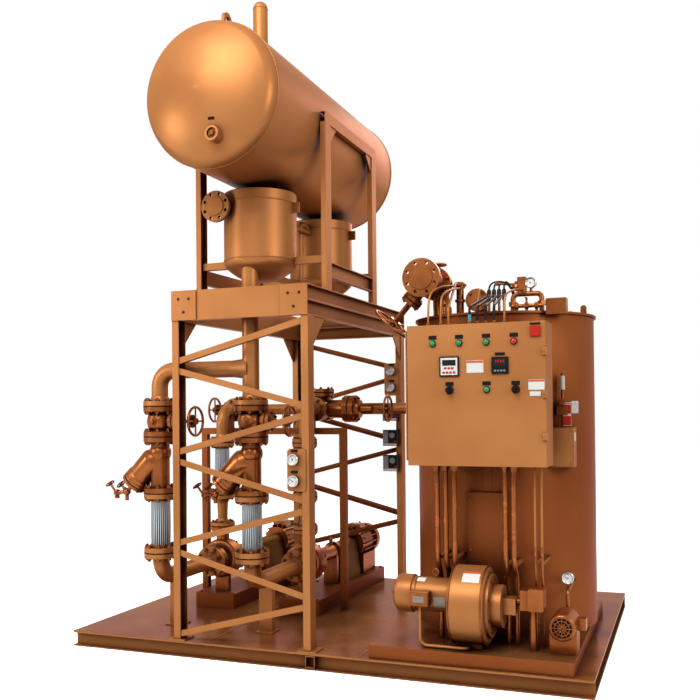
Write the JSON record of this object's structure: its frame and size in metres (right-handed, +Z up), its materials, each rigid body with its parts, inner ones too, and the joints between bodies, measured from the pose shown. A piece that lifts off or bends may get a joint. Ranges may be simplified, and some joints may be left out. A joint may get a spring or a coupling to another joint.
{
  "type": "thermal fluid heater skid",
  "caption": "Skid-mounted industrial thermal fluid boiler: upright round heater with burner and control cabinet, expansion tank on a lattice tower, circulating pumps, strainers and valves.",
  "frame": {"origin": "middle of the skid's underside, on the ground", "axes": "+X along the long front edge towards the heater, +Y from the front to the back, +Z up"},
  "size_m": [3.55, 2.954, 4.476],
  "materials": {
    "bronze_paint": "semi-gloss bronze paint",
    "deck_paint": "glossy bronze deck paint",
    "steel_braid": "woven wire braid",
    "guard_paint": "yellow guard paint",
    "black_plastic": "black switch housing",
    "control_plastic": "lamp, knob and controller plastic"
  },
  "bodies": {
    "skid": {"back_bracing": "bronze_paint", "blower_housing": "bronze_paint", "blower_motor": "bronze_paint", "burner_panel": "bronze_paint", "cabinet_backplate": "bronze_paint", "cabinet_brackets": "bronze_paint", "cabinet_side_walls": "bronze_paint", "cabinet_top_and_floor": "bronze_paint", "conduits": "bronze_paint", "coupling_guards": "guard_paint", "deaerator_heads": "bronze_paint", "deaerator_pipes": "bronze_paint", "deaerator_shells": "bronze_paint", "deck_plate": "deck_paint", "discharge_piping": "bronze_paint", "end_headers": "bronze_paint", "flex_connectors": "steel_braid", "front_bracing": "bronze_paint", "gas_train": "bronze_paint", "gauge_plates": "bronze_paint", "heater_casing": "bronze_paint", "heater_fittings": "bronze_paint", "heater_plinth": "bronze_paint", "heater_top": "bronze_paint", "junction_box": "bronze_paint", "knee_gussets": "bronze_paint", "line_valves": "bronze_paint", "oil_pump": "bronze_paint", "outlet_valve": "bronze_paint", "pipe_support_beam": "bronze_paint", "pipe_support_legs": "bronze_paint", "pressure_switches": "black_plastic", "pump_bases": "bronze_paint", "pump_casings": "bronze_paint", "pump_motors": "bronze_paint", "side_headers": "bronze_paint", "sight_glass_assembly": "bronze_paint", "skid_cross_beams": "bronze_paint", "skid_long_beams": "bronze_paint", "splice_plates": "bronze_paint", "suction_piping": "bronze_paint", "tank_back_head": "bronze_paint", "tank_frame_posts": "bronze_paint", "tank_frame_ties": "bronze_paint", "tank_front_head": "bronze_paint", "tank_rails": "bronze_paint", "tank_shell": "bronze_paint", "tank_top_fittings": "bronze_paint", "tower_posts": "bronze_paint", "y_strainers": "bronze_paint"},
    "door": {"cabinet_door": "bronze_paint", "door_controls": "control_plastic"},
    "first_suction_wheel": {"first_suction_wheel": "bronze_paint"},
    "second_suction_wheel": {"second_suction_wheel": "bronze_paint"},
    "first_discharge_wheel": {"first_discharge_wheel": "bronze_paint"},
    "second_discharge_wheel": {"second_discharge_wheel": "bronze_paint"},
    "outlet_wheel": {"outlet_wheel": "bronze_paint"}
  },
  "joints": [
    {"name": "door_hinge", "type": "hinge", "parent": "skid", "child": "door", "pos_m": [0.654, -1.11, 1.72], "axis": [0, 0, -1], "range_deg": [0, 110]},
    {"name": "first_suction_wheel_turn", "type": "hinge", "parent": "skid", "child": "first_suction_wheel", "pos_m": [-0.895, -1.037, 1.566], "axis": [1, 0, 0], "range_deg": [0, 1440]},
    {"name": "second_suction_wheel_turn", "type": "hinge", "parent": "skid", "child": "second_suction_wheel", "pos_m": [-0.18, -1.037, 1.566], "axis": [1, 0, 0], "range_deg": [0, 1440]},
    {"name": "first_discharge_wheel_turn", "type": "hinge", "parent": "skid", "child": "first_discharge_wheel", "pos_m": [-1.43, 0.1615, 1.64], "axis": [-1, 0, 0], "range_deg": [0, 1440]},
    {"name": "second_discharge_wheel_turn", "type": "hinge", "parent": "skid", "child": "second_discharge_wheel", "pos_m": [0.099, 0.1615, 1.64], "axis": [1, 0, 0], "range_deg": [0, 1440]},
    {"name": "outlet_wheel_turn", "type": "hinge", "parent": "skid", "child": "outlet_wheel", "pos_m": [0.40971, -0.63, 2.21184], "axis": [-0.6639, 0, -0.7478], "range_deg": [0, 1440]}
  ]
}
